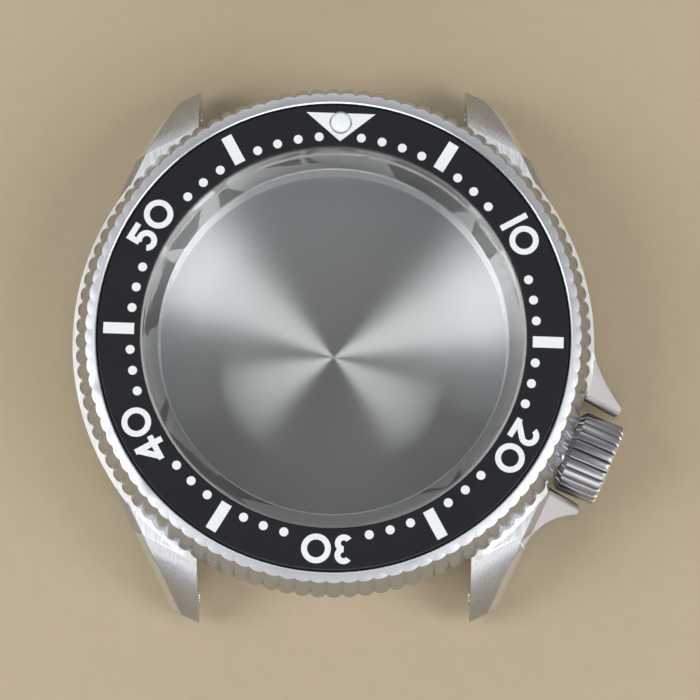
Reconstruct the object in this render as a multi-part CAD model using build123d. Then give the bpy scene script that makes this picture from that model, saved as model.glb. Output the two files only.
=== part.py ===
"""Empty diver's watch case: body, crystal, turning bezel, screw-down crown and screw back.

Millimetres. The origin is the centre of the case back's outer face, +X points to three
o'clock, +Y to twelve o'clock and +Z out through the crystal.
"""

import os
from math import cos, dist, pi, radians, sin, sqrt

from build123d import *

# Overall sizes of the case
case_radius = 21.1
lug_gap = 22.0
lug_to_lug = 44.3
case_bottom_height = 1.6
deck_height = 9.4
overrun = 1.0
running_clearance = 0.08
seat_clearance = 0.02

# Band round the movement, seen from the side
band_belly_inset = 1.8
band_belly_rise = 1.3
band_bevel_width = 0.55
band_bevel_drop = 0.6
waist_top_inset = 0.8
waist_top_drop = 1.8
waist_bottom_inset = 2.9

# Lugs: one lug is twisted about the upright axis, so its crease and end lie across that line
lug_twist = 25.0
lug_shelf_drop = 0.5
lug_crease_inset = 0.5
lug_fall_angle = 30.0
lug_end_rise = 1.6
lug_end_foot_drop = 0.2
lug_underside_inset = 1.5
lug_tip_fillet = 0.5
lug_tip_thickness = 2.2
lug_tip_setback = 1.05
lug_root_inset = 0.05
lug_root_azimuth = 29.61
lug_bevel = 0.5
lug_foot_bevel_width = 0.5
lug_foot_bevel_height = 1.1
bar_hole_radius = 0.6
upper_bar_hole_depth = 1.2
lower_bar_hole_depth = 1.4
bar_hole_offset = 20.2
bar_hole_height = 2.9

# Inside of the case
crystal_inset = 5.85
crystal_thickness = 3.0
crystal_chamfer = 0.35
crystal_gasket_wall = 0.45
crystal_gasket_rise = 0.05
ledge_rise = 0.5
flange_width = 1.2
flange_thickness = 2.7
flange_chamfer = 0.12
dial_seat_step = 0.25
dial_thickness = 0.4
dial_ledge_width = 0.6
collar_height = 1.0
collar_wall = 0.9

# Bezel and its insert
bezel_gap = 0.3
bezel_height = 2.9
bezel_foot_inset = 0.35
bezel_lean = 0.85
bezel_rim_width = 0.95
bezel_foot_land = 0.35
bezel_lobes = 100
bezel_groove_depth = 0.26
bezel_groove_share = 0.16
bezel_shoulder_share = 0.7
bezel_set_angle = -2.05
bezel_edge_chamfer = 0.12
insert_overhang = 0.2
insert_thickness = 0.8
insert_chamfer = 0.2
insert_inner_chamfer = 0.12
insert_sink = 0.1
tape_thickness = 0.1
tape_margin = 0.2
web_thickness = 0.5
web_setback = 0.2

# Retaining ring between collar and bezel
ring_wire_radius = 0.26
ring_height = 0.75
ring_centre_offset = 0.06

# Click: notches under the bezel, a ball and its spring in the deck
click_notches = 120
notch_inset = 2.05
notch_half_length = 0.75
notch_half_width = 0.42
notch_depth = 0.42
ball_radius = 0.55
ball_clearance = 0.05
click_azimuth = 180.0
click_hole_clearance = 0.06
click_hole_depth = 2.8
click_wire = 0.16
click_turns = 3

# Scale on the insert
mark_depth = 0.12
scale_outer_margin = 0.57
bar_inner_margin = 0.47
bar_width = 0.9
dot_radius = 0.36
dot_margin = 0.8
numeral_inward = 0.08
numeral_stroke = 0.47
numeral_gap = 0.3
two_bow_share = 0.62
two_bow_arc = (-35.0, 200.0)
three_bow_share = 0.5
three_bow_arc = (-90.0, 235.0)
four_arm_share = 0.85
four_bar_share = 0.45
five_bow_share = 0.64
five_bow_arc = (-150.0, 285.0)
five_left_share = 0.75
five_knee_share = 1.0
triangle_tip_margin = 0.4
triangle_half_angle = 8.75
pip_margin = 1.57
pip_radius = 0.8
pip_dome = 0.08
pip_cup_wall = 0.12

# Crown, its tube and what slides inside them
crown_azimuth = -23.5
crown_radius = 3.4
crown_inset = 0.35
crown_length = 3.75
crown_flutes = 30
crown_flute_radius = 0.24
crown_flute_depth = 0.16
crown_chamfer = 0.4
crown_dish_depth = 0.12
crown_dish_rim = 0.9
recess_inset = 0.75
recess_half_width = 3.86
thread_pitch = 0.5
thread_turns = 3.5
tube_radius = 1.75
tube_thread_step = 0.15
tube_wall = 0.25
tube_length = 2.0
thread_clearance = 0.08
pipe_clearance = 0.06
pipe_wall = 0.34
pipe_reach = 2.75
crown_roof_thickness = 0.5
post_head_clearance = 0.06
post_head_length = 1.4
post_shank_radius = 0.72
post_reach = 1.9
post_slack = 0.05
stem_socket_radius = 0.42
stem_socket_depth = 3.0
retainer_thickness = 0.3
retainer_clearance = 0.06
seat_washer_thickness = 0.15
crown_wire = 0.2
crown_spring_turns = 4
coil_samples = 24
crown_gasket_gap = 0.03

# Crown guards, seen along and across the crown's axis
guard_tip_setback = 0.9
guard_tip_width = 1.0
guard_root_inset = 2.2
guard_root_half_width = 8.2
upper_flank_middle = (1.75, 1.95)
upper_flank_root = (3.7, 3.5)
lower_flank_middle = (1.6, 2.2)
lower_flank_root = (2.95, 5.6)
guard_top_inset = 1.2
guard_tip_rise = 0.6
guard_tip_drop = 1.6
guard_bottom_inset = 0.7
guard_bottom_rise = 0.7
guard_tip_fillet = 0.4
guard_edge_fillet = 0.25

# Case back and its gasket
back_inset = 3.5
back_thickness = 1.3
back_flange_width = 1.2
back_boss_height = 1.7
back_rim_chamfer = 0.4
back_notches = 6
back_notch_width = 2.6
back_notch_depth = 1.3
back_notch_height = 1.0
back_thread_relief = 0.3
back_thread_wall = 0.8
seal_wire_radius = 0.3
seal_distance = 0.72
seal_groove_width = 0.8
seal_groove_depth = 0.66

# Heights that follow from the sizes above
band_belly_height = case_bottom_height + band_belly_rise
waist_top_height = deck_height - waist_top_drop
lug_shelf_height = deck_height - lug_shelf_drop
lug_end_height = case_bottom_height + lug_end_rise
lug_end_foot = case_bottom_height - lug_end_foot_drop
ledge_height = deck_height + ledge_rise
dial_shoulder_height = ledge_height - flange_thickness
crown_height = (case_bottom_height + deck_height) / 2
guard_tip_top = crown_height + guard_tip_rise
guard_tip_bottom = crown_height - guard_tip_drop
guard_bottom_height = case_bottom_height + guard_bottom_rise
bezel_bottom = deck_height + bezel_gap
bezel_top = bezel_bottom + bezel_height
insert_top = bezel_top - insert_sink
insert_bottom = insert_top - insert_thickness
insert_floor = insert_bottom - tape_thickness
collar_top = ledge_height + collar_height
ring_z = bezel_bottom + ring_height

# Radii and lengths that follow
band_belly_radius = case_radius - band_belly_inset
waist_top_radius = case_radius - waist_top_inset
waist_bottom_radius = case_radius - waist_bottom_inset
lug_crease_distance = case_radius - lug_crease_inset
lug_underside_start = case_radius - lug_underside_inset
lug_tip_half_width = lug_gap / 2 + lug_tip_thickness
lug_tip_offset = lug_to_lug / 2 - lug_tip_setback
lug_root_half_width = (case_radius - lug_root_inset) * cos(radians(lug_root_azimuth))
lug_root_offset = (case_radius - lug_root_inset) * sin(radians(lug_root_azimuth))
crystal_radius = case_radius - crystal_inset
flange_radius = crystal_radius - flange_width
dial_seat_radius = flange_radius + dial_seat_step
movement_radius = dial_seat_radius + dial_ledge_width
gasket_outer_radius = crystal_radius + crystal_gasket_wall
collar_radius = gasket_outer_radius + collar_wall
bezel_foot_radius = case_radius - bezel_foot_inset
bezel_rim_radius = bezel_foot_radius - bezel_lean
bezel_bore_radius = collar_radius + running_clearance
insert_radius = bezel_rim_radius - bezel_rim_width
insert_seat_radius = insert_radius + seat_clearance
insert_inner_radius = crystal_radius + insert_overhang
web_inner_radius = insert_inner_radius + web_setback
notch_radius = bezel_foot_radius - notch_inset
bar_inner_radius = insert_inner_radius + bar_inner_margin
bar_outer_radius = insert_radius - scale_outer_margin
dot_circle_radius = insert_inner_radius + dot_margin
numeral_circle_radius = (insert_inner_radius + insert_radius) / 2 - numeral_inward
numeral_height = insert_radius - insert_inner_radius - 2 * scale_outer_margin
triangle_tip_radius = insert_inner_radius + triangle_tip_margin
pip_circle_radius = insert_radius - pip_margin
tube_thread_radius = tube_radius + tube_thread_step
tube_bore_radius = tube_radius - tube_wall
pipe_radius = tube_bore_radius - pipe_clearance
pipe_bore_radius = pipe_radius - pipe_wall
post_head_radius = pipe_bore_radius - post_head_clearance
crown_gasket_wire = (tube_thread_radius - pipe_radius) / 2 - crown_gasket_gap
crown_start = case_radius - crown_inset
crown_end = crown_start + crown_length
recess_floor = case_radius - recess_inset
tube_end = recess_floor + tube_length
pipe_start = recess_floor - pipe_reach
pipe_roof = crown_end - crown_roof_thickness
post_start = pipe_start - post_reach
guard_reach = crown_end - guard_tip_setback
guard_root_start = case_radius - guard_root_inset
guard_top_start = case_radius - guard_top_inset
guard_bottom_start = case_radius - guard_bottom_inset
back_radius = case_radius - back_inset
back_thread_radius = back_radius - back_flange_width
back_hollow_radius = back_thread_radius - back_thread_wall
seal_circle_radius = back_thread_radius + seal_distance
ring_circle_radius = collar_radius + ring_centre_offset
tube_hole_start = sqrt(movement_radius**2 - tube_radius**2)
click_hole_radius = ball_radius + click_hole_clearance
ball_height = bezel_bottom - sqrt(ball_radius**2 - notch_half_width**2) - ball_clearance
post_head_start = pipe_start + retainer_thickness + thread_pitch * thread_turns + post_slack
post_head_end = post_head_start + post_head_length
pen_reach = (numeral_height - numeral_stroke) / 2
lug_end = (lug_to_lug / 2) * cos(radians(lug_twist)) + (lug_gap / 2) * sin(radians(lug_twist))


def enclosed(*lines):
    """Flat face inside lines that join end to end."""
    return make_face([edge for line in lines for edge in line.edges()])


def turned(*points):
    """Revolve a closed outline of (radius, height) points about the upright axis."""
    outline = make_face(Polyline(*points, close=True))
    return revolve(Plane.XZ * outline, Axis.Z)


def disc(radius, low, high):
    """Upright cylinder between two heights."""
    return Pos(0, 0, low) * Cylinder(radius, high - low, align=(Align.CENTER, Align.CENTER, Align.MIN))


def ring(inner, outer, low, high):
    """Plain upright ring."""
    return turned((inner, low), (outer, low), (outer, high), (inner, high))


def countersink(radius, chamfer_width, top):
    """Cone that breaks the upper edge of a bore at 45 degrees."""
    reach = chamfer_width + overrun
    return turned(
        (0, top - chamfer_width),
        (radius, top - chamfer_width),
        (radius + reach, top + overrun),
        (0, top + overrun),
    )


def hoop(circle_radius, wire_radius, height):
    """Round-section ring lying flat."""
    return Pos(0, 0, height) * Torus(circle_radius, wire_radius)


def on_crown_axis(shape):
    """Carry a shape made upright at the origin onto the crown's axis."""
    angle = radians(crown_azimuth)
    frame = Plane(
        origin=(0, 0, crown_height),
        x_dir=(-sin(angle), cos(angle), 0),
        z_dir=(cos(angle), sin(angle), 0),
    )
    return frame * shape


def coil(wire, mean_radius, low, high, turns):
    """Open coil spring standing on the upright axis between two heights."""
    rise = high - low - wire
    path = Pos(0, 0, low + wire / 2) * Helix(rise / turns, rise, mean_radius)
    section = Plane(origin=path @ 0, z_dir=path % 0) * Circle(wire / 2)
    print("coil gap", round(least_gap(path, turns) - wire, 3))
    return sweep(section, path=path, is_frenet=True)


def least_gap(path, turns):
    """Least distance between the centre lines of neighbouring turns, measured on points."""
    steps = coil_samples * turns
    points = [tuple(path @ (step / steps)) for step in range(steps + 1)]
    half_turn = coil_samples // 2
    return min(dist(points[a], points[b]) for a in range(steps) for b in range(a + half_turn, steps + 1))


def four_corners(piece):
    """A piece at plus X and plus Y, with its mirror images in the other three corners."""
    side = mirror(piece, Plane.YZ)
    return [piece, side, mirror(piece, Plane.XZ), mirror(side, Plane.XZ)]


def lug_direction():
    """Level direction along which a lug's crease and end run, from its inner face outwards."""
    return Vector(cos(radians(lug_twist)), -sin(radians(lug_twist)), 0)


def flank_frame():
    """Upright plane of the lug's flank, facing outwards."""
    along = Vector(lug_tip_half_width - lug_root_half_width, lug_tip_offset - lug_root_offset, 0)
    outward = along.cross(Vector(0, 0, 1))
    return Plane(origin=(lug_root_half_width, lug_root_offset, 0), x_dir=along, z_dir=outward)


def lug_plan():
    """Lug at two o'clock seen from above, with its outer corner rounded."""
    flank = flank_frame()
    start = Vector(lug_gap / 2, 0)
    high = lug_to_lug / 2 + overrun
    far = flank.origin + flank.x_dir * (high - lug_root_offset) / flank.x_dir.Y
    outline = Polyline(start, (start.X, high), far, flank.origin, (flank.origin.X, 0), close=True)
    length = Rot(0, 0, 90 - lug_twist) * Pos(lug_end / 2, 0) * Rectangle(lug_end, 2 * lug_to_lug)
    plan = make_face(outline) & length
    return fillet(plan.vertices().sort_by(Axis.Y)[-2], lug_tip_fillet)


def lug_side():
    """Lug seen along its crease: level shelf, rounded fall, upright end and flat underside."""
    crease = (lug_crease_distance, lug_shelf_height)
    end = (lug_end + overrun, lug_end_height)
    foot = (lug_end + overrun, lug_end_foot)
    heel = (lug_underside_start, case_bottom_height)
    fall = (cos(radians(lug_fall_angle)), -sin(radians(lug_fall_angle)))
    top = TangentArc(crease, (lug_end, lug_end_height), tangent=fall)
    underside = Polyline(foot, heel, (0, case_bottom_height), (0, lug_shelf_height))
    level = Polyline((lug_end, lug_end_height), end, foot)
    return enclosed(top, level, underside, Line((0, lug_shelf_height), crease))


def lug_slab():
    """The lug's side outline carried on past both of its sides."""
    return Rot(0, 0, 90 - lug_twist) * extrude(Plane.XZ * lug_side(), 2 * case_radius, both=True)


def lug():
    """Lug at two o'clock, with a bevel between its top and its flank."""
    body = extrude(lug_plan(), deck_height) & lug_slab()
    flank = flank_frame()
    inner_line = flank.offset(-lug_bevel)
    outside = split(body, bisect_by=inner_line, keep=Keep.TOP)
    inside = split(body, bisect_by=inner_line, keep=Keep.BOTTOM)
    face = section(body, section_by=inner_line)
    across = lug_direction()
    fall = Vector(0, 0, -across.dot(flank.z_dir))
    reach = 2 * lug_bevel / across.dot(flank.z_dir)
    bevelled = inside + (outside & extrude(face, reach, dir=across + fall))
    return bevelled - lug_foot_cut()


def lug_foot_cut():
    """Wedge along the lower edge of a lug's flank."""
    flank = flank_frame()
    width = lug_foot_bevel_width
    height = lug_foot_bevel_height
    low = case_bottom_height - overrun
    across_flank = Plane(origin=flank.origin, x_dir=flank.z_dir, z_dir=-flank.x_dir)
    steep = height / width
    wedge = Polyline(
        (overrun, case_bottom_height + height + overrun * steep),
        (overrun, low),
        (-width - (case_bottom_height - low) / steep, low),
        close=True,
    )
    return extrude(across_flank * make_face(wedge), -lug_to_lug)


def guard(side, middle, root):
    """Horn beside the crown, made along +X: plan cut by its falling top and rising underside."""
    tip = (guard_reach, side * (recess_half_width + guard_tip_width))
    start = (guard_root_start, side * guard_root_half_width)
    bend = (guard_reach - middle[0], side * (recess_half_width + middle[1]))
    heel = (guard_reach - root[0], side * (recess_half_width + root[1]))
    straight = Polyline(heel, start, (guard_root_start, 0), (guard_reach, 0), tip)
    plan = enclosed(ThreePointArc(tip, bend, heel), straight)
    plan = fillet(plan.vertices().sort_by_distance(tip)[0], guard_tip_fillet)
    profile = make_face(
        Polyline(
            (guard_root_start, guard_bottom_height),
            (guard_bottom_start, guard_bottom_height),
            (guard_reach, guard_tip_bottom),
            (guard_reach, guard_tip_top),
            (guard_top_start, lug_shelf_height),
            (guard_root_start, lug_shelf_height),
            close=True,
        )
    )
    horn = extrude(plan, deck_height) & extrude(Plane.XZ * profile, case_radius, both=True)
    slope = horn.faces().filter_by(lambda face: face.normal_at().Z > 0).sort_by(Axis.X)[-1]
    rim = [edge for edge in slope.edges() if abs(edge.center().Y) > recess_half_width]
    horn = Rot(0, 0, crown_azimuth) * fillet(rim, guard_edge_fillet)
    return horn & mirror(lug_slab(), Plane.XZ)


def mid_case():
    """Body of the case, with lugs, guards, collar and all its bores."""
    waist = turned(
        (0, case_bottom_height),
        (waist_bottom_radius, case_bottom_height),
        (waist_top_radius, waist_top_height),
        (waist_top_radius, deck_height),
        (0, deck_height),
    )
    band = turned(
        (0, case_bottom_height),
        (band_belly_radius, case_bottom_height),
        (case_radius, band_belly_height),
        (case_radius, deck_height - band_bevel_drop),
        (case_radius - band_bevel_width, deck_height),
        (0, deck_height),
    )
    strap_slot = Box(lug_gap, 2 * (case_radius + overrun), 2 * (deck_height + overrun))
    body = waist + (band - strap_slot)
    for piece in four_corners(lug()):
        body += piece
    body += guard(1, upper_flank_middle, upper_flank_root)
    body += guard(-1, lower_flank_middle, lower_flank_root)
    body += ring(flange_radius, collar_radius, deck_height - overrun, collar_top)

    body -= crown_recess()
    body -= on_crown_axis(disc(tube_radius, tube_hole_start, crown_end))
    body -= inner_bores()
    body -= hoop_groove()
    body -= click_hole()
    body -= bar_holes()
    return body


def crown_recess():
    """Room for the crown between the horns, open above and outwards."""
    depth = crown_end - recess_floor + overrun
    height = deck_height + overrun
    room = Box(depth, 2 * recess_half_width, height, align=(Align.MIN, Align.CENTER, Align.MIN))
    return Rot(0, 0, crown_azimuth) * Pos(recess_floor, 0, 0) * room


def inner_bores():
    """Crystal seat, flange bore, dial seat, movement space, back thread and seal groove."""
    cut = disc(gasket_outer_radius, ledge_height, collar_top + overrun)
    cut += disc(flange_radius, dial_shoulder_height - overrun, ledge_height + overrun)
    cut += countersink(flange_radius, flange_chamfer, ledge_height)
    cut += disc(dial_seat_radius, dial_shoulder_height - dial_thickness - overrun, dial_shoulder_height)
    cut += disc(movement_radius, 0, dial_shoulder_height - dial_thickness)
    thread_top = case_bottom_height + back_boss_height + back_thread_relief
    cut += disc(back_thread_radius + thread_clearance, 0, thread_top)
    half = seal_groove_width / 2
    cut += ring(
        seal_circle_radius - half,
        seal_circle_radius + half,
        0,
        case_bottom_height + seal_groove_depth,
    )
    return cut


def hoop_groove():
    """Groove round the collar for the retaining ring."""
    reach = ring_wire_radius + seat_clearance
    return ring(
        ring_circle_radius - reach,
        collar_radius + overrun,
        ring_z - reach,
        ring_z + reach,
    )


def click_place(shape):
    """Move a piece made on the upright axis to the click's place in the deck."""
    return Rot(0, 0, click_azimuth) * Pos(notch_radius, 0, 0) * shape


def click_hole():
    """Blind hole in the deck for the ball and its spring."""
    return click_place(disc(click_hole_radius, deck_height - click_hole_depth, deck_height + overrun))


def bar_hole(depth):
    """Blind spring-bar hole in the inner face of the lug at two o'clock."""
    pin = Cylinder(bar_hole_radius, depth, align=(Align.CENTER, Align.CENTER, Align.MIN))
    return Pos(lug_gap / 2, bar_hole_offset, bar_hole_height) * Rot(0, 90, 0) * pin


def bar_holes():
    """Spring-bar holes in all four lugs."""
    upper = bar_hole(upper_bar_hole_depth)
    lower = mirror(bar_hole(lower_bar_hole_depth), Plane.XZ)
    return [upper, mirror(upper, Plane.YZ), lower, mirror(lower, Plane.YZ)]


def lobed_outline(radius):
    """Closed outline of shallow rounded lobes parted by narrow grooves."""
    edges = []
    pitch = 2 * pi / bezel_lobes
    groove = pitch * bezel_groove_share / 2
    inner = radius - bezel_groove_depth

    def at(reach, angle):
        return (reach * cos(angle), reach * sin(angle))

    shoulder = radius - bezel_groove_depth * bezel_shoulder_share
    for number in range(bezel_lobes):
        middle = number * pitch
        start = middle - pitch / 2 + groove
        stop = middle + pitch / 2 - groove
        edges.append(ThreePointArc(at(shoulder, start), at(radius, middle), at(shoulder, stop)))
        next_start = stop + 2 * groove
        edges.append(ThreePointArc(at(shoulder, stop), at(inner, stop + groove), at(shoulder, next_start)))
    return make_face(edges)


def bezel_blank():
    """Lobed outside of the bezel: upright at its foot, leaning in towards the rim."""
    foot = Pos(0, 0, bezel_bottom + bezel_foot_land) * lobed_outline(bezel_foot_radius)
    rim = Pos(0, 0, bezel_top) * lobed_outline(bezel_rim_radius)
    skirt = extrude(Pos(0, 0, bezel_bottom) * lobed_outline(bezel_foot_radius), bezel_foot_land)
    return skirt + loft([foot, rim], ruled=True)


def notch():
    """One click notch, cut upwards into the bezel's underside at +X."""
    outline = make_face(
        Polyline(
            (-notch_half_width, bezel_bottom),
            (0, bezel_bottom + notch_depth),
            (notch_half_width, bezel_bottom),
            (notch_half_width, bezel_bottom - overrun),
            (-notch_half_width, bezel_bottom - overrun),
            close=True,
        )
    )
    prism = extrude(Plane.YZ * outline, 2 * notch_half_length)
    return Pos(notch_radius - notch_half_length, 0, 0) * prism


def bezel():
    """Turning bezel: lobed grip, insert seat, bore, ring groove and click notches."""
    body = bezel_blank()
    high = bezel_top + overrun
    body -= disc(insert_seat_radius, insert_floor, high)
    body -= countersink(insert_seat_radius, bezel_edge_chamfer, bezel_top)
    body -= disc(web_inner_radius, bezel_bottom - overrun, high)
    body -= disc(bezel_bore_radius, bezel_bottom - overrun, insert_floor - web_thickness)
    reach = ring_wire_radius + running_clearance
    body -= ring(bezel_bore_radius - overrun, ring_circle_radius + reach, ring_z - reach, ring_z + reach)
    step = 360 / click_notches
    body -= [Rot(0, 0, click_azimuth + step * number) * notch() for number in range(click_notches)]
    return body


def bezel_turned(shape):
    """Turn a piece of the bezel to the place where it was last set."""
    return Rot(0, 0, bezel_set_angle) * shape


def polar(radius, azimuth):
    return (radius * cos(radians(azimuth)), radius * sin(radians(azimuth)))


def minute_azimuth(minute):
    """Azimuth of a minute mark, counted clockwise from twelve o'clock."""
    return 90 - 6 * minute


def stroke(*lines):
    """Flat outline of the pen's width along lines and arcs."""
    return trace(list(lines), line_width=numeral_stroke)


def figure_nought():
    outer = numeral_height / 2
    return Circle(outer) - Circle(outer - numeral_stroke)


def figure_one():
    return Rectangle(numeral_stroke, numeral_height)


def figure_two():
    bow = pen_reach * two_bow_share
    top = CenterArc((0, pen_reach - bow), bow, *two_bow_arc)
    slope = Line(top @ 0, (-bow, -pen_reach))
    return stroke(top) + stroke(slope) + level_bar(-bow, bow, -pen_reach)


def level_bar(left, right, height):
    """Level stroke of a figure, with square ends half a pen beyond both points."""
    width = right - left + numeral_stroke
    return Pos((left + right) / 2, height) * Rectangle(width, numeral_stroke)


def figure_three():
    bow = pen_reach * three_bow_share
    upper = CenterArc((0, pen_reach - bow), bow, *three_bow_arc)
    lower = mirror(upper, Plane.XZ)
    return stroke(upper) + stroke(lower)


def figure_four():
    arm = pen_reach * four_arm_share
    bar = -pen_reach * four_bar_share
    slope = stroke(Line((arm / 2, pen_reach), (-arm, bar)))
    upright = Pos(arm / 2, 0) * Rectangle(numeral_stroke, numeral_height)
    return slope + upright + level_bar(-arm, arm, bar)


def figure_five():
    bow = pen_reach * five_bow_share
    left = -bow * five_left_share
    bowl = CenterArc((0, bow - pen_reach), bow, *five_bow_arc)
    knee = bowl @ five_knee_share
    return stroke(bowl) + stroke(Line((left, pen_reach), knee)) + level_bar(left, bow, pen_reach)


figures = {
    "0": figure_nought,
    "1": figure_one,
    "2": figure_two,
    "3": figure_three,
    "4": figure_four,
    "5": figure_five,
}


def numeral(tens):
    """Two figures side by side, reading from the centre of the insert outwards."""
    shapes = [figures[tens](), figure_nought()]
    widths = [shape.bounding_box().size.X for shape in shapes]
    total = sum(widths) + numeral_gap
    left = -total / 2
    placed = []
    for shape, width in zip(shapes, widths):
        centre = left + width / 2 - shape.bounding_box().center().X
        placed.append(Pos(centre, numeral_circle_radius) * shape)
        left += width + numeral_gap
    return placed


def scale_outlines():
    """Flat outlines of every white mark: triangle, bars, dots and numerals."""
    marks = [triangle_outline()]
    bar_length = bar_outer_radius - bar_inner_radius
    bar_middle = (bar_outer_radius + bar_inner_radius) / 2
    for minute in range(1, 60):
        azimuth = minute_azimuth(minute)
        if minute % 10 == 0:
            turn = Rot(0, 0, azimuth - 90)
            marks += [turn * shape for shape in numeral(str(minute // 10))]
        elif minute % 5 == 0:
            marks.append(Rot(0, 0, azimuth) * Pos(bar_middle, 0) * Rectangle(bar_length, bar_width))
        elif minute_is_dotted(minute):
            marks.append(Pos(*polar(dot_circle_radius, azimuth)) * Circle(dot_radius))
    return marks


def minute_is_dotted(minute):
    """The numerals take the place of the dot on either side of them."""
    return minute % 10 not in (1, 9) or minute in (1, 59)


def triangle_outline():
    """Twelve o'clock mark: point inwards, with a straight outer side."""
    left = polar(bar_outer_radius, 90 + triangle_half_angle)
    right = polar(bar_outer_radius, 90 - triangle_half_angle)
    return make_face(Polyline((0, triangle_tip_radius), right, left, close=True))


def pip_hole():
    """Hole through the insert for the luminous pip."""
    reach = pip_radius + pip_cup_wall
    return Pos(0, pip_circle_radius, 0) * disc(reach, insert_bottom - overrun, insert_top + overrun)


def raised_marks(height):
    """Every mark as a solid that stands on the floor of its engraving."""
    floor = insert_top - mark_depth
    return [extrude(Pos(0, 0, floor) * outline, height) for outline in scale_outlines()]


def scale_marks():
    """Paint that fills the engraved scale, one solid for each mark."""
    return [mark - pip_hole() for mark in raised_marks(mark_depth)]


def bezel_insert():
    """Black scale ring, engraved for its marks."""
    body = turned(
        (insert_inner_radius, insert_bottom),
        (insert_radius, insert_bottom),
        (insert_radius, insert_top - insert_chamfer),
        (insert_radius - insert_chamfer, insert_top),
        (insert_inner_radius + insert_inner_chamfer, insert_top),
        (insert_inner_radius, insert_top - insert_inner_chamfer),
    )
    body -= pip_hole()
    for mark in raised_marks(overrun):
        body -= mark
    return body


def insert_tape():
    """Adhesive ring under the insert."""
    return ring(
        web_inner_radius + tape_margin,
        insert_radius - tape_margin,
        insert_floor,
        insert_bottom,
    )


def lume_pip():
    """Luminous pearl with a slightly domed top."""
    low = insert_bottom
    high = insert_top - pip_dome
    dome = TangentArc((0, insert_top + pip_dome), (pip_radius, high), tangent=(1, 0))
    body = Polyline((pip_radius, high), (pip_radius, low), (0, low), (0, insert_top + pip_dome))
    return Pos(0, pip_circle_radius, 0) * revolve(Plane.XZ * enclosed(dome, body), Axis.Z)


def pip_cup():
    """Thin metal sleeve that the pearl sits in."""
    sleeve = ring(pip_radius, pip_radius + pip_cup_wall, insert_bottom, insert_top)
    return Pos(0, pip_circle_radius, 0) * sleeve


def crystal():
    """Flat watch glass with polished chamfers."""
    top = ledge_height + crystal_thickness
    return turned(
        (0, ledge_height),
        (crystal_radius, ledge_height),
        (crystal_radius, top - crystal_chamfer),
        (crystal_radius - crystal_chamfer, top),
        (0, top),
    )


def crystal_gasket():
    """Plastic ring pressed in round the glass."""
    return ring(crystal_radius, gasket_outer_radius, ledge_height, collar_top + crystal_gasket_rise)


def crown_tube():
    """Tube fixed in the case: plain root, threaded outer end."""
    return on_crown_axis(
        turned(
            (tube_bore_radius, movement_radius),
            (tube_radius, movement_radius),
            (tube_radius, recess_floor),
            (tube_thread_radius, recess_floor),
            (tube_thread_radius, tube_end),
            (tube_bore_radius, tube_end),
        )
    )


def crown_cap():
    """Fluted crown with its inner pipe, bored for the thread and the sliding post."""
    thread_bore = tube_thread_radius + thread_clearance
    cavity_floor = tube_end + 2 * crown_gasket_wire + 2 * crown_gasket_gap
    dish = crown_radius - crown_chamfer - crown_dish_rim
    body = turned(
        (pipe_bore_radius, pipe_start),
        (pipe_radius, pipe_start),
        (pipe_radius, cavity_floor),
        (thread_bore, cavity_floor),
        (thread_bore, crown_start),
        (crown_radius - crown_chamfer, crown_start),
        (crown_radius, crown_start + crown_chamfer),
        (crown_radius, crown_end - crown_chamfer),
        (crown_radius - crown_chamfer, crown_end),
        (dish + crown_dish_depth, crown_end),
        (dish, crown_end - crown_dish_depth),
        (0, crown_end - crown_dish_depth),
        (0, pipe_roof),
        (pipe_bore_radius, pipe_roof),
    )
    step = 360 / crown_flutes
    flute_place = crown_radius + crown_flute_radius - crown_flute_depth
    flute = Pos(flute_place, 0, 0) * disc(crown_flute_radius, 0, crown_end + overrun)
    body -= [Rot(0, 0, step * number) * flute for number in range(crown_flutes)]
    return on_crown_axis(body)


def crown_retainer():
    """Ring closed over the post in the end of the crown's pipe."""
    return on_crown_axis(
        ring(
            post_shank_radius + retainer_clearance,
            pipe_bore_radius,
            pipe_start,
            pipe_start + retainer_thickness,
        )
    )


def crown_gasket():
    """Round seal in the crown, against the end of the tube."""
    circle = (pipe_radius + tube_thread_radius) / 2
    height = tube_end + crown_gasket_gap + crown_gasket_wire
    return on_crown_axis(hoop(circle, crown_gasket_wire, height))


def crown_post():
    """Sliding post that carries the stem."""
    socket = disc(stem_socket_radius, post_start - overrun, post_start + stem_socket_depth)
    body = turned(
        (0, post_start),
        (post_shank_radius, post_start),
        (post_shank_radius, post_head_start),
        (post_head_radius, post_head_start),
        (post_head_radius, post_head_end),
        (0, post_head_end),
    )
    return on_crown_axis(body - socket)


def crown_washer():
    """Seat for the outer end of the crown's spring."""
    return on_crown_axis(disc(post_head_radius, pipe_roof - seat_washer_thickness, pipe_roof))


def crown_spring():
    """Spring that pushes the crown out once its thread lets go."""
    mean = post_head_radius - crown_wire / 2
    return on_crown_axis(
        coil(crown_wire, mean, post_head_end, pipe_roof - seat_washer_thickness, crown_spring_turns)
    )


def click_ball():
    """Ball that stands in a notch of the bezel."""
    return click_place(Pos(0, 0, ball_height) * Sphere(ball_radius))


def click_spring():
    """Spring under the ball."""
    mean = ball_radius - click_wire
    reach = ball_radius + click_wire / 2 + seat_clearance
    high = ball_height - sqrt(reach**2 - mean**2) + click_wire / 2
    return click_place(coil(click_wire, mean, deck_height - click_hole_depth, high, click_turns))


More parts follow.
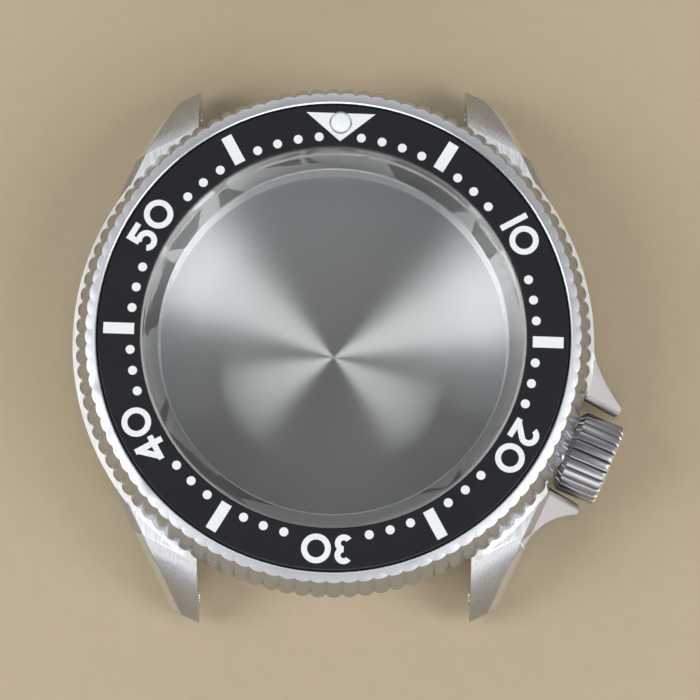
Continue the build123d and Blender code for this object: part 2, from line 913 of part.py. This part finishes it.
def case_back():
    """Screw back: flange with key notches, threaded boss and hollow inside."""
    boss_top = case_bottom_height + back_boss_height
    body = turned(
        (0, 0),
        (back_radius - back_rim_chamfer, 0),
        (back_radius, back_rim_chamfer),
        (back_radius, case_bottom_height),
        (back_thread_radius, case_bottom_height),
        (back_thread_radius, boss_top),
        (back_hollow_radius, boss_top),
        (back_hollow_radius, back_thickness),
        (0, back_thickness),
    )
    key = Box(
        back_notch_depth + overrun,
        back_notch_width,
        back_notch_height + overrun,
        align=(Align.MIN, Align.CENTER, Align.MIN),
    )
    place = Pos(back_radius - back_notch_depth, 0, -overrun)
    step = 360 / back_notches
    body -= [Rot(0, 0, step * number) * place * key for number in range(back_notches)]
    return body


def case_back_gasket():
    """Round seal between the back's flange and the case."""
    height = case_bottom_height + seal_wire_radius + seat_clearance
    return hoop(seal_circle_radius, seal_wire_radius, height)


def build_pieces():
    """Every piece by its name."""
    return {
        "mid_case": mid_case(),
        "crystal": crystal(),
        "crystal_gasket": crystal_gasket(),
        "bezel": bezel(),
        "insert_tape": bezel_turned(insert_tape()),
        "bezel_insert": bezel_turned(bezel_insert()),
        "scale_marks": Compound(children=[bezel_turned(mark).solid() for mark in scale_marks()]),
        "pip_cup": bezel_turned(pip_cup()),
        "lume_pip": bezel_turned(lume_pip()),
        "retaining_ring": hoop(ring_circle_radius, ring_wire_radius, ring_z),
        "click_ball": click_ball(),
        "click_spring": click_spring(),
        "crown_tube": crown_tube(),
        "crown_cap": crown_cap(),
        "crown_retainer": crown_retainer(),
        "crown_gasket": crown_gasket(),
        "crown_post": crown_post(),
        "crown_washer": crown_washer(),
        "crown_spring": crown_spring(),
        "case_back": case_back(),
        "case_back_gasket": case_back_gasket(),
    }


os.makedirs("parts", exist_ok=True)
for name, piece in build_pieces().items():
    print(name, "volume", round(piece.volume, 3), "solids", len(piece.solids()), "valid", piece.is_valid)
    export_step(piece, f"parts/{name}.step")
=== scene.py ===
from math import atan2, cos, degrees, hypot, radians, sin

import bmesh
import bpy
from mathutils import Euler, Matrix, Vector


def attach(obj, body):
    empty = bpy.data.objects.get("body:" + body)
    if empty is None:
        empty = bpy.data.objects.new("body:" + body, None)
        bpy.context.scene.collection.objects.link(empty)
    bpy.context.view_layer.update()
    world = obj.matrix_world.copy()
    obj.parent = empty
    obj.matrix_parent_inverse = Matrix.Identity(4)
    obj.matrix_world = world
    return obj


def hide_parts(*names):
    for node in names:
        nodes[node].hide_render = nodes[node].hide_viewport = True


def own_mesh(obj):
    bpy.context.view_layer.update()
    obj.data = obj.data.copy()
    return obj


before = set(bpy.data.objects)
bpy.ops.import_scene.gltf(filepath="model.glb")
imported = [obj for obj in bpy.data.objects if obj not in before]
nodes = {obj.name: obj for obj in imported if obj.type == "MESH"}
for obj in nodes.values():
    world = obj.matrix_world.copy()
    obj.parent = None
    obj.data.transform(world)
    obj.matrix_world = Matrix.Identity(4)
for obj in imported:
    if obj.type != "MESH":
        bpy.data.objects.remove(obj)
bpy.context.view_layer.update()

mm = 0.001
scene = bpy.context.scene
print("frame loaded:", len(nodes), "nodes")


# Shader maths: a wrapped output socket, so that mask * 2 + 1 adds its Math nodes
class Wire:
    def __init__(self, tree, socket=None):
        self.tree = tree
        self.socket = socket

    def node(self, kind, settings=None, sockets=None, output=0):
        made = self.tree.nodes.new("ShaderNode" + kind)
        for name, value in (settings or {}).items():
            if name == "stops":
                fillRamp(made.color_ramp, value)
            else:
                setattr(made, name, value)
        for name, value in (sockets or {}).items():
            if isinstance(value, Wire):
                self.tree.links.new(value.socket, made.inputs[name])
            else:
                made.inputs[name].default_value = value
        return Wire(self.tree, made.outputs[output])

    def math(self, operation, first, second):
        return self.node("Math", {"operation": operation}, {0: first, 1: second})

    def __add__(self, other):
        return self.math("ADD", self, other)

    def __radd__(self, other):
        return self.math("ADD", other, self)

    def __sub__(self, other):
        return self.math("SUBTRACT", self, other)

    def __rsub__(self, other):
        return self.math("SUBTRACT", other, self)

    def __mul__(self, other):
        return self.math("MULTIPLY", self, other)

    def __rmul__(self, other):
        return self.math("MULTIPLY", other, self)

    def blend(self, first, second):
        sockets = {"Factor": self, 6: first, 7: second}  # 6 and 7 are the node's two colours
        return self.node("Mix", {"data_type": "RGBA"}, sockets, 2)


def tone(red, green, blue):
    return (red, green, blue, 1.0)


def darker(colour, share):
    return tone(*(channel * share for channel in colour[:3]))


def fillRamp(ramp, stops):
    while len(ramp.elements) < len(stops):
        ramp.elements.new(0.5)
    for element, (place, shade) in zip(ramp.elements, stops):
        element.position = place
        element.color = tone(*shade)


def newMaterial(name):
    material = bpy.data.materials.new(name)
    material.use_nodes = True
    tree = material.node_tree
    tree.nodes.clear()
    output = tree.nodes.new("ShaderNodeOutputMaterial")
    return material, Wire(tree), output


def closeMaterial(wire, output, shader):
    wire.tree.links.new(shader.socket, output.inputs["Surface"])


def objectPlace(wire, scale=(1.0, 1.0, 1.0), turn=0.0):
    source = wire.node("TexCoord", output=3)  # the place in the object's own frame
    sockets = {"Vector": source, "Rotation": (0.0, 0.0, turn), "Scale": scale}
    return wire.node("Mapping", {"vector_type": "POINT"}, sockets)


noiseLook = {"detail": 2.0, "fineDetail": 3.0, "finestDetail": 4.0}


def noise(wire, place, detail="detail"):
    return wire.node("TexNoise", None, {"Vector": place, "Scale": 1.0, "Detail": noiseLook[detail]})


def evenNoise(wire, grain, detail="fineDetail"):
    return noise(wire, objectPlace(wire, (grain, grain, grain)), detail)


def radiusFrom(wire):
    sockets = {0: objectPlace(wire), 1: (1.0, 1.0, 0.0)}
    flat = wire.node("VectorMath", {"operation": "MULTIPLY"}, sockets)
    return wire.node("VectorMath", {"operation": "LENGTH"}, {0: flat}, 1)


def noiseAlong(wire, value):
    sockets = {"W": value, "Scale": 1.0, "Detail": noiseLook["fineDetail"]}
    return wire.node("TexNoise", {"noise_dimensions": "1D"}, sockets)


def bumpFrom(wire, height, strength, distance):
    return wire.node("Bump", None, {"Strength": strength, "Distance": distance * mm, "Height": height})


# Straight brushing: fine lines, broader streaks and slow patches
brushLook = {
    "fineStretch": 40, "streakCoarser": 1.4, "streakStretch": 30, "broadScale": (260.0, 60.0, 260.0),
    "streakShare": 0.7, "broadShare": 0.3, "contrast": 2.2, "dark": 0.74, "light": 1.14,
    "smoother": 0.09, "fineRough": 0.08, "streakRough": 0.06, "broadRough": 0.04, "bumpDistance": 0.004,
}


def brushedSteel(name, colour, lines, roughness, depth):
    look = brushLook
    material, wire, output = newMaterial(name)
    coarse = lines / look["streakCoarser"]
    fine = noise(wire, objectPlace(wire, (lines, lines / look["fineStretch"], lines)), "fineDetail")
    streak = noise(wire, objectPlace(wire, (coarse, lines / look["streakStretch"], coarse)))
    broad = noise(wire, objectPlace(wire, look["broadScale"]))
    mixed = streak * look["streakShare"] + broad * look["broadShare"]
    mark = (mixed - 0.5) * look["contrast"] + 0.5
    rough = roughness - look["smoother"] + fine * look["fineRough"]
    rough = rough + streak * look["streakRough"] + broad * look["broadRough"]
    sockets = {
        "Base Color": mark.blend(darker(colour, look["dark"]), darker(colour, look["light"])),
        "Metallic": 1.0,
        "Roughness": rough,
        "Normal": bumpFrom(wire, fine + streak, depth, look["bumpDistance"]),
    }
    closeMaterial(wire, output, wire.node("BsdfPrincipled", None, sockets))
    return material


# Turning on a lathe: rings about the Z axis under a slow cloud
turnLook = {
    "cloudGrain": 90.0, "groovesShare": 0.5, "cloudShare": 0.5, "dark": 0.88, "anisotropyTurn": 0.25,
    "smoother": 0.05, "grooveRough": 0.08, "cloudRough": 0.03, "bumpDistance": 0.003,
}


def turnedSteel(name, colour, lines, roughness, depth, anisotropy):
    look = turnLook
    material, wire, output = newMaterial(name)
    grooves = noiseAlong(wire, radiusFrom(wire) * lines)
    cloud = evenNoise(wire, look["cloudGrain"])
    mark = grooves * look["groovesShare"] + cloud * look["cloudShare"]
    rough = roughness - look["smoother"] + grooves * look["grooveRough"] + cloud * look["cloudRough"]
    sockets = {
        "Base Color": mark.blend(darker(colour, look["dark"]), colour),
        "Metallic": 1.0,
        "Roughness": rough,
        "Anisotropic": anisotropy,
        "Anisotropic Rotation": look["anisotropyTurn"],
        "Normal": bumpFrom(wire, grooves, depth, look["bumpDistance"]),
    }
    closeMaterial(wire, output, wire.node("BsdfPrincipled", None, sockets))
    return material


polishLook = {
    "wipeGrain": 240.0, "swirlScale": (3000.0, 400.0, 3000.0), "swirlTurn": 0.6, "dark": 0.93,
    "wipeRough": 0.06, "swirlRough": 0.03,
}


def polishedSteel(name, colour, roughness):
    look = polishLook
    material, wire, output = newMaterial(name)
    wipe = evenNoise(wire, look["wipeGrain"], "finestDetail")
    swirl = noise(wire, objectPlace(wire, look["swirlScale"], look["swirlTurn"]))
    sockets = {
        "Base Color": wipe.blend(darker(colour, look["dark"]), colour),
        "Metallic": 1.0,
        "Roughness": roughness + wipe * look["wipeRough"] + swirl * look["swirlRough"],
    }
    closeMaterial(wire, output, wire.node("BsdfPrincipled", None, sockets))
    return material


coatLook = {"dark": 0.92, "smoother": 0.03, "speckRough": 0.06, "bump": 0.1, "bumpDistance": 0.004}


def plainCoat(name, colour, roughness, grain=900.0, coat=0.0):
    look = coatLook
    material, wire, output = newMaterial(name)
    speck = evenNoise(wire, grain)
    sockets = {
        "Base Color": speck.blend(darker(colour, look["dark"]), colour),
        "Roughness": roughness - look["smoother"] + speck * look["speckRough"],
        "Coat Weight": coat,
        "Normal": bumpFrom(wire, speck, look["bump"], look["bumpDistance"]),
    }
    closeMaterial(wire, output, wire.node("BsdfPrincipled", None, sockets))
    return material


glassLook = {"tint": tone(0.985, 0.99, 0.985), "hazeGrain": 200.0, "haze": 0.02, "smooth": 0.01, "edge": 0.12}


def crystalGlass(name):
    look = glassLook
    material, wire, output = newMaterial(name)
    clear = wire.node("BsdfTransparent", None, {"Color": look["tint"]})
    haze = evenNoise(wire, look["hazeGrain"], "detail") * look["haze"] + look["smooth"]
    shine = wire.node("BsdfGlossy", None, {"Color": tone(1.0, 1.0, 1.0), "Roughness": haze})
    edge = wire.node("LayerWeight", None, {"Blend": look["edge"]})
    closeMaterial(wire, output, wire.node("MixShader", None, {0: edge, 1: clear, 2: shine}))
    return material


colours = {
    "satin": tone(0.46, 0.47, 0.50),
    "guard": tone(0.53, 0.51, 0.51),
    "bright": tone(0.78, 0.79, 0.82),
    "shelf": tone(0.93, 0.95, 0.98),
    "bezelTop": tone(0.58, 0.60, 0.64),
    "grip": tone(0.50, 0.52, 0.57),
    "turnedBack": tone(0.70, 0.71, 0.73),
    # The crown's steel is darkened well below the case's steel: painted shade for the dark surroundings the
    # crown sits in
    "crown": tone(0.36, 0.36, 0.39),
    "crownEdge": tone(0.80, 0.80, 0.80),
    "insert": tone(0.011, 0.012, 0.015),
    "paint": tone(0.68, 0.71, 0.74),
    "lume": tone(0.70, 0.75, 0.77),
    "nylon": tone(0.75, 0.75, 0.73),
    "rubber": tone(0.02, 0.02, 0.02),
    "tape": tone(0.6, 0.6, 0.58),
    "plastic": tone(0.05, 0.05, 0.05),
    "floor": tone(0.40, 0.33, 0.225),
}
materials = {
    "lugTop": brushedSteel("lugTopBrushed", colours["satin"], lines=9000.0, roughness=0.37, depth=0.6),
    "shelf": brushedSteel("shelfSatin", colours["shelf"], lines=9000.0, roughness=0.62, depth=0.4),
    "inside": turnedSteel("ledgeTurned", colours["bright"], 6000.0, 0.34, depth=0.15, anisotropy=0.88),
    "bezelTop": turnedSteel("bezelTopSatin", colours["bezelTop"], 9000.0, 0.46, depth=0.4, anisotropy=0.0),
    "back": turnedSteel("backTurned", colours["turnedBack"], 7000.0, 0.34, depth=0.3, anisotropy=0.97),
    "flank": polishedSteel("flankPolished", colours["bright"], roughness=0.16),
    "guard": polishedSteel("guardSatin", colours["guard"], roughness=0.36),
    "bezelSide": polishedSteel("bezelGripSatin", colours["grip"], roughness=0.22),
    # Darkened crown steel, painted shade; the hidden crown parts and the click spring share it
    "crown": polishedSteel("crownPolishedPaintedShade", colours["crown"], roughness=0.3),
    "crownEdge": polishedSteel("crownEdgeSatin", colours["crownEdge"], roughness=0.3),
    "insert": plainCoat("insertBlack", colours["insert"], roughness=0.26, grain=300.0, coat=0.25),
    "paint": plainCoat("markWhite", colours["paint"], roughness=0.5),
    "lume": plainCoat("pipLuminous", colours["lume"], roughness=0.45, grain=5000.0),
    "nylon": plainCoat("gasketNylon", colours["nylon"], roughness=0.4),
    "rubber": plainCoat("sealRubber", colours["rubber"], roughness=0.6),
    "tape": plainCoat("tapeWhite", colours["tape"], roughness=0.6),
    "plastic": plainCoat("ringPlastic", colours["plastic"], roughness=0.4),
    "glass": crystalGlass("crystalClear"),
}
print("materials made:", len(materials))


# Pieces that stand for a CAD node: its own mesh, merged, its edges broken and its curves smoothed
meshLook = {"weld": 0.0005, "flatWithin": 0.3, "edgeAngle": 28, "edgeSegments": 2, "smoothAngle": 24}


def isCorner(edge):
    return edge.calc_face_angle() > radians(meshLook["edgeAngle"])


def mergedCopy(node, edgeBreak=0.0, reshape=None):
    work = bmesh.new()
    work.from_mesh(nodes[node].data)
    bmesh.ops.remove_doubles(work, verts=work.verts, dist=meshLook["weld"] * mm)
    if reshape:
        reshape(work)
    flat = radians(meshLook["flatWithin"])
    bmesh.ops.dissolve_limit(work, angle_limit=flat, verts=work.verts, edges=work.edges)
    if edgeBreak:
        breakEdges(work, isCorner, edgeBreak, meshLook["edgeSegments"])
    return work


def breakEdges(work, chosen, radius, segments, clamp=True):
    edges = [edge for edge in work.edges if edge.is_manifold and chosen(edge)]
    bmesh.ops.bevel(
        work, geom=edges, offset=radius * mm, offset_type="OFFSET", segments=segments,
        profile=0.5, affect="EDGES", material=-1, clamp_overlap=clamp,
    )


# A piece has one finish, or several and a function that names the finish of each face
def addPiece(name, work, body, replaced, finishes, chooser=None):
    for face in work.faces:
        face.smooth = True
        face.material_index = finishes.index(chooser(face)) if chooser else 0
    mesh = bpy.data.meshes.new(name)
    work.to_mesh(mesh)
    work.free()
    mesh.set_sharp_from_angle(angle=radians(meshLook["smoothAngle"]))
    for finish in finishes:
        mesh.materials.append(materials[finish])
    piece = bpy.data.objects.new(name, mesh)
    scene.collection.objects.link(piece)
    weighted = piece.modifiers.new("weighted", "WEIGHTED_NORMAL")  # keeps flat faces flat beside broken edges
    weighted.keep_sharp = True
    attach(piece, body)
    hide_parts(*replaced)
    print("piece", name, len(mesh.polygons), "faces")
    return piece


def flatRadius(point):
    return hypot(point.x, point.y) / mm


crownAzimuth = radians(-23.5)
crownAxis = Vector((cos(crownAzimuth), sin(crownAzimuth), 0))
acrossCrown = Vector((-crownAxis.y, crownAxis.x, 0))

caseBody = {
    "insideRadius": 17.3, "shelfRadius": 21.7, "shelfLow": 8.8, "shelfSlope": 0.6, "topSlope": 0.55,
    "topLow": 3.0, "edgeBreak": 0.06, "lugFall": 65.0, "lugFallWithin": 4.0, "lugFallSlope": 0.1,
}
guards = {
    "from": 20.3, "to": 23.7, "half": 3.86, "halfWithin": 0.1, "low": 5.9, "noseFrom": 23.5,
    "edgeAngle": 50, "tinyEdge": 0.06, "round": 0.6, "roundSegments": 6,
    "topFrom": 15.0, "topSlope": 0.1, "reach": 7.5,
}


def isNearCrown(point):
    along = point.dot(crownAxis)
    return along > guards["topFrom"] * mm and abs(point.dot(acrossCrown)) < guards["reach"] * mm


def caseFinish(face):
    centre = face.calc_center_median()
    radius = flatRadius(centre)
    height = centre.z / mm
    rise = face.normal.z
    if radius < caseBody["insideRadius"]:
        return "inside"
    if rise > caseBody["shelfSlope"] and height > caseBody["shelfLow"] and radius < caseBody["shelfRadius"]:
        return "shelf"
    if isNearCrown(centre) and rise > guards["topSlope"]:
        return "guard"
    if rise > caseBody["topSlope"] and height > caseBody["topLow"]:
        return "lugTop"
    lean = degrees(atan2(abs(face.normal.y), abs(face.normal.x)))
    if abs(lean - caseBody["lugFall"]) < caseBody["lugFallWithin"] and caseBody["lugFallSlope"] < rise:
        return "lugTop"
    return "flank"


def isBesideCrown(vert):
    along = vert.co.dot(crownAxis) / mm
    across = abs(vert.co.dot(acrossCrown)) / mm
    return guards["from"] < along < guards["to"] and abs(across - guards["half"]) < guards["halfWithin"]


def isGuardEdge(edge):
    first, second = edge.verts
    high = (first.co.z + second.co.z) / 2 > guards["low"] * mm
    nose = first.co.dot(crownAxis) + second.co.dot(crownAxis) > 2 * guards["noseFrom"] * mm
    sharp = edge.calc_face_angle() > radians(guards["edgeAngle"])
    return (high or nose) and sharp and isBesideCrown(first) and isBesideCrown(second)


def makeCaseBody():
    work = mergedCopy("mid_case")
    near = [vert for vert in work.verts if isBesideCrown(vert)]
    bmesh.ops.remove_doubles(work, verts=near, dist=guards["tinyEdge"] * mm)
    breakEdges(work, isGuardEdge, guards["round"], guards["roundSegments"], clamp=False)
    breakEdges(work, isCorner, caseBody["edgeBreak"], meshLook["edgeSegments"])
    finishes = ["lugTop", "flank", "inside", "shelf", "guard"]
    addPiece("caseBody", work, "case", ["mid_case"], finishes, caseFinish)


makeCaseBody()

bezelRing = {
    "topSlope": 0.95, "edgeBreak": 0.03, "topLow": 12.55, "topInside": 18.97, "fall": 0.2,
    "rimFrom": 19.5, "rim": 19.9, "rimNew": 19.83, "waveShare": 0.6,
}


def bezelFinish(face):
    return "bezelTop" if face.normal.z > bezelRing["topSlope"] else "bezelSide"


# The top of the ring falls away a little towards its rim, where the grip's wave is shallower than below
def slopeTop(work):
    for vert in work.verts:
        radius = flatRadius(vert.co)
        if vert.co.z < bezelRing["topLow"] * mm:
            continue
        if radius > bezelRing["rimFrom"]:
            eased = bezelRing["rimNew"] - (bezelRing["rim"] - radius) * bezelRing["waveShare"]
            vert.co.x *= eased / radius
            vert.co.y *= eased / radius
            radius = eased
        vert.co.z -= bezelRing["fall"] * (radius - bezelRing["topInside"]) * mm


def makeBezelRing():
    work = mergedCopy("bezel", bezelRing["edgeBreak"], slopeTop)
    addPiece("bezelRing", work, "bezel", ["bezel"], ["bezelTop", "bezelSide"], bezelFinish)


makeBezelRing()

scaleRing = {"edgeBreak": 0.02}
backPlate = {"edgeBreak": 0.05}
scaleWork = mergedCopy("bezel_insert", scaleRing["edgeBreak"])
addPiece("scaleRing", scaleWork, "bezel", ["bezel_insert"], ["insert"])
backWork = mergedCopy("case_back", backPlate["edgeBreak"])
addPiece("backPlate", backWork, "case_back", ["case_back"], ["back"])

# The crown's ridges are broad and rounded, with narrow grooves between them that run out at its ends
crownKnob = {
    "height": 5.5, "start": 20.75, "end": 24.5, "radius": 3.4, "chamfer": 0.4, "endCrowning": 0.06,
    "dish": 2.1, "dishDepth": 0.12, "threadBore": 1.98, "cavityFloor": 22.81,
    "pipe": 1.44, "pipeBore": 1.1, "pipeStart": 17.6, "pipeRoof": 24.0,
    "ridges": 25, "groovePlace": -3.8, "ridgeFall": 0.05, "grooveDepth": 0.25, "grooveFrom": 0.62,
    "ridgeShares": (0.0, 0.25, 0.5, 0.62, 0.72, 0.82, 0.91), "edgeLow": 0.5, "edgeHigh": 0.97,
}


# Rows of place along the crown's axis and radius, from the dish over the rim and into the pipe's bore
def crownRows():
    look = crownKnob
    start, end, radius = look["start"], look["end"], look["radius"]
    shoulder = radius - look["chamfer"]
    third = look["chamfer"] / 3
    crowning = look["endCrowning"]
    return [
        (end - look["dishDepth"], look["dish"]),
        (end, look["dish"] + look["dishDepth"]),
        (end, shoulder),
        (end - third + crowning, shoulder + third + crowning),
        (end - 2 * third + crowning, shoulder + 2 * third + crowning),
        (end - look["chamfer"], radius),
        (start + look["chamfer"], radius),
        (start, shoulder),
        (start, look["threadBore"]),
        (look["cavityFloor"], look["threadBore"]),
        (look["cavityFloor"], look["pipe"]),
        (look["pipeStart"], look["pipe"]),
        (look["pipeStart"], look["pipeBore"]),
        (look["pipeRoof"], look["pipeBore"]),
    ]


# Columns of angle and depth round the crown, where depth is the share of the chamfer that the surface sinks
def crownColumns():
    look = crownKnob
    shares = look["ridgeShares"]
    across = [-1.0] + [-share for share in reversed(shares[1:])] + list(shares)
    pitch = 360 / look["ridges"]
    columns = []
    for ridge in range(look["ridges"]):
        for share in across:
            angle = look["groovePlace"] + pitch * (ridge + (share + 1) / 2)
            groove = max(0.0, (abs(share) - look["grooveFrom"]) / (1 - look["grooveFrom"]))
            depth = look["ridgeFall"] * share ** 2 + look["grooveDepth"] * groove ** 2
            columns.append((radians(angle), depth / look["chamfer"]))
    return columns


def crownPoint(along, reach, angle):
    upward = Vector((0, 0, crownKnob["height"] + reach * cos(angle)))
    return (crownAxis * along + acrossCrown * reach * sin(angle) + upward) * mm


# The chamfer faces keep a plain steel tone, and the rest of the knob takes the darkened crown steel, which is
# painted shade
def crownFinish(face):
    facing = face.normal.dot(crownAxis)
    return "crownEdge" if crownKnob["edgeLow"] < facing < crownKnob["edgeHigh"] else "crown"


def makeCrownKnob():
    work = bmesh.new()
    shoulder = crownKnob["radius"] - crownKnob["chamfer"]
    columns = crownColumns()
    rings = []
    for along, radius in crownRows():
        outside = max(0.0, radius - shoulder)
        points = [crownPoint(along, radius - outside * depth, angle) for angle, depth in columns]
        rings.append([work.verts.new(point) for point in points])
    for outer, inner in zip(rings, rings[1:]):
        for number in range(len(columns)):
            after = (number + 1) % len(columns)
            work.faces.new((outer[number], outer[after], inner[after], inner[number]))
    for ring in (rings[0], rings[-1]):
        work.faces.new(ring)
    bmesh.ops.recalc_face_normals(work, faces=work.faces)
    addPiece("crownKnob", work, "crown", ["crown_cap"], ["crown", "crownEdge"], crownFinish)


makeCrownKnob()
addPiece("pipPearl", mergedCopy("lume_pip"), "bezel", ["lume_pip"], ["lume"])


def makeClickSpring():
    work = mergedCopy("click_spring")
    spring = addPiece("clickSpring", work, "case", ["click_spring"], ["crown"])
    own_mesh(spring)


makeClickSpring()

nodeFinishes = {
    "crystal": "glass",
    "crystal_gasket": "nylon",
    "insert_tape": "tape",
    "scale_marks": "paint",
    "pip_cup": "inside",
    "retaining_ring": "plastic",
    "click_ball": "crown",
    "crown_tube": "flank",
    "crown_retainer": "crown",
    "crown_gasket": "rubber",
    "crown_post": "crown",
    "crown_washer": "crown",
    "crown_spring": "crown",
    "case_back_gasket": "rubber",
}
for node, finish in nodeFinishes.items():
    nodes[node].data.materials.clear()
    nodes[node].data.materials.append(materials[finish])
print("finishes on the carried-over nodes:", len(nodeFinishes))


# Stage: floor, lamps and camera
floorLook = {"size": 1.6, "drop": 0.02, "roughness": 0.6, "grain": 800.0}


def addFloor():
    work = bmesh.new()
    bmesh.ops.create_grid(work, x_segments=1, y_segments=1, size=floorLook["size"])
    bmesh.ops.translate(work, verts=work.verts, vec=(0, 0, -floorLook["drop"] * mm))
    mesh = bpy.data.meshes.new("floor")
    work.to_mesh(mesh)
    work.free()
    floor = bpy.data.objects.new("floor", mesh)
    scene.collection.objects.link(floor)
    coat = plainCoat("floorPale", colours["floor"], floorLook["roughness"], floorLook["grain"])
    floor.data.materials.append(coat)


# Azimuth from plus X and rise above the floor in degrees, away and size in metres, power in watts
lamps = {
    "lampRight": {"azimuth": -24, "rise": 46, "away": 0.6, "size": (0.27, 0.39), "power": 1.75},
    "lampLeft": {"azimuth": 191, "rise": 46, "away": 0.6, "size": (0.27, 0.39), "power": 1.75},
    "lampSideRight": {"azimuth": 6, "rise": 32, "away": 0.6, "size": (0.5, 0.3), "power": 0.42},
    "lampSideLeft": {"azimuth": 174, "rise": 32, "away": 0.6, "size": (0.5, 0.3), "power": 0.55},
    "lampFront": {"azimuth": -90, "rise": 28, "away": 0.7, "size": (0.9, 0.36), "power": 2.6},
    "lampBack": {"azimuth": 90, "rise": 24, "away": 0.7, "size": (0.9, 0.25), "power": 1.35},
}


def addLamp(name, azimuth, rise, away, size, power):
    data = bpy.data.lights.new(name, "AREA")
    data.shape = "RECTANGLE"
    data.size, data.size_y = size
    data.energy = power
    lamp = bpy.data.objects.new(name, data)
    level = cos(radians(rise))
    ray = Vector((level * cos(radians(azimuth)), level * sin(radians(azimuth)), sin(radians(rise))))
    lamp.location = ray * away
    lamp.rotation_euler = (-ray).to_track_quat("-Z", "Y").to_euler()
    scene.collection.objects.link(lamp)


# The surroundings' colour by height, from 0 at the horizon to 1 overhead
worldStops = (
    (0.0, (0.36, 0.30, 0.24)),
    (0.3, (0.38, 0.37, 0.36)),
    (0.6, (0.28, 0.28, 0.28)),
    (1.0, (0.16, 0.16, 0.16)),
)


def addWorld():
    world = bpy.data.worlds.new("studio")
    world.use_nodes = True
    tree = world.node_tree
    tree.nodes.clear()
    output = tree.nodes.new("ShaderNodeOutputWorld")
    wire = Wire(tree)
    height = wire.node("SeparateXYZ", None, {"Vector": wire.node("TexCoord")}, 2)
    shade = wire.node("ValToRGB", {"stops": worldStops}, {"Fac": height})
    glow = wire.node("Background", None, {"Color": shade, "Strength": 1.0})
    closeMaterial(wire, output, glow)
    scene.world = world


camera = {
    "place": (0.6, -45.5, 283.3), "tilt": (9.29, -0.13, -0.14), "focal": 3440.2, "frameWidth": 700,
    "sensor": 36.0, "clipStart": 0.01,
}


def addCamera():
    data = bpy.data.cameras.new("camera")
    data.sensor_width = camera["sensor"]
    data.lens = camera["focal"] / camera["frameWidth"] * camera["sensor"]
    data.clip_start = camera["clipStart"]
    eye = bpy.data.objects.new("camera", data)
    eye.location = Vector(camera["place"]) * mm
    eye.rotation_euler = Euler([radians(angle) for angle in camera["tilt"]])
    scene.collection.objects.link(eye)
    scene.camera = eye


addFloor()
addWorld()
for lampName, look in lamps.items():
    addLamp(lampName, **look)
addCamera()
scene.view_settings.view_transform = "Standard"
print("stage set:", len(lamps), "lamps")
